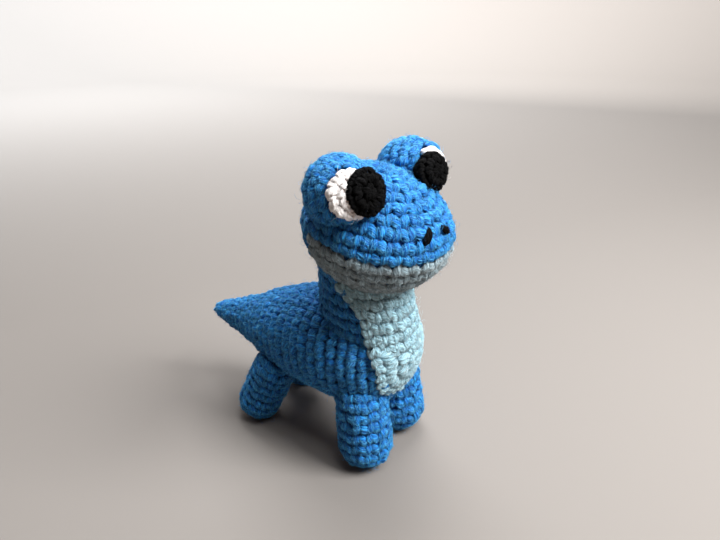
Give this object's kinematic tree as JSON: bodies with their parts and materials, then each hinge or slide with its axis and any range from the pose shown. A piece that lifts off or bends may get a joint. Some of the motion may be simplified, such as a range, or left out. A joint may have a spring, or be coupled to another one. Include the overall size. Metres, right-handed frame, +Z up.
{
  "type": "crocheted toy dinosaur",
  "caption": "Small stuffed crochet dinosaur with a long neck, raised eyes, a pale jaw and chest, a tail and stubby legs that bend at their seams.",
  "frame": {"origin": "on the surface the toy stands on, at the middle of its bounding box", "axes": "+Z up, the toy faces -Y with its tail towards +Y, and its right side is -X; the head is turned about 11 degrees to its right at rest"},
  "size_m": [0.0524, 0.1086, 0.1126],
  "materials": {
    "blue_yarn": "fuzzy mid-blue plied acrylic yarn, crocheted",
    "pale_blue_yarn": "fuzzy pale blue-grey plied acrylic yarn, crocheted",
    "white_yarn": "white plied yarn, crocheted",
    "black_yarn": "black plied yarn, crocheted and stitched",
    "fibre_filling": "loose polyester fibre filling, hidden inside"
  },
  "bodies": {
    "body": {"body_cover": "blue_yarn", "body_stuffing": "fibre_filling", "chest_panel": "pale_blue_yarn"},
    "neck": {"neck_cover": "blue_yarn", "neck_stuffing": "fibre_filling", "throat_panel": "pale_blue_yarn"},
    "head": {"head_cover": "blue_yarn", "jaw_cover": "pale_blue_yarn", "head_stuffing": "fibre_filling", "eye_mound_right": "blue_yarn", "eye_mound_left": "blue_yarn", "eye_mound_stuffing_right": "fibre_filling", "eye_mound_stuffing_left": "fibre_filling", "eye_white_right": "white_yarn", "eye_white_left": "white_yarn", "pupil_right": "black_yarn", "pupil_left": "black_yarn", "nostril_stitch_right": "black_yarn", "nostril_stitch_left": "black_yarn"},
    "leg_front_right": {"leg_cover_front_right": "blue_yarn", "leg_stuffing_front_right": "fibre_filling"},
    "leg_front_left": {"leg_cover_front_left": "blue_yarn", "leg_stuffing_front_left": "fibre_filling"},
    "leg_rear_right": {"leg_cover_rear_right": "blue_yarn", "leg_stuffing_rear_right": "fibre_filling"},
    "leg_rear_left": {"leg_cover_rear_left": "blue_yarn", "leg_stuffing_rear_left": "fibre_filling"},
    "tail": {"tail_cover": "blue_yarn", "tail_stuffing": "fibre_filling"}
  },
  "joints": [
    {"name": "neck_turn", "type": "hinge", "parent": "body", "child": "neck", "pos_m": [0.00133, -0.02257, 0.051], "axis": [0, 0, 1], "range_deg": [-12, 18], "stiffness_Nm_per_rad": 0.08},
    {"name": "head_nod", "type": "hinge", "parent": "neck", "child": "head", "pos_m": [0.00133, -0.02257, 0.066], "axis": [0.9825, -0.1865, 0], "range_deg": [-12, 8], "stiffness_Nm_per_rad": 0.1},
    {"name": "tail_wag", "type": "hinge", "parent": "body", "child": "tail", "pos_m": [0.00133, 0.01325, 0.03473], "axis": [0, 0, 1], "range_deg": [-12, 12], "stiffness_Nm_per_rad": 0.02},
    {"name": "leg_swing_front_right", "type": "hinge", "parent": "body", "child": "leg_front_right", "pos_m": [-0.01017, -0.02757, 0.026], "axis": [1, 0, 0], "range_deg": [-12, 12], "stiffness_Nm_per_rad": 0.05},
    {"name": "leg_swing_front_left", "type": "hinge", "parent": "body", "child": "leg_front_left", "pos_m": [0.01283, -0.02757, 0.026], "axis": [1, 0, 0], "range_deg": [-12, 12], "stiffness_Nm_per_rad": 0.05},
    {"name": "leg_swing_rear_right", "type": "hinge", "parent": "body", "child": "leg_rear_right", "pos_m": [-0.00947, 0.01283, 0.024], "axis": [1, 0, 0], "range_deg": [-12, 12], "stiffness_Nm_per_rad": 0.05},
    {"name": "leg_swing_rear_left", "type": "hinge", "parent": "body", "child": "leg_rear_left", "pos_m": [0.01213, 0.01283, 0.024], "axis": [1, 0, 0], "range_deg": [-12, 12], "stiffness_Nm_per_rad": 0.05}
  ]
}
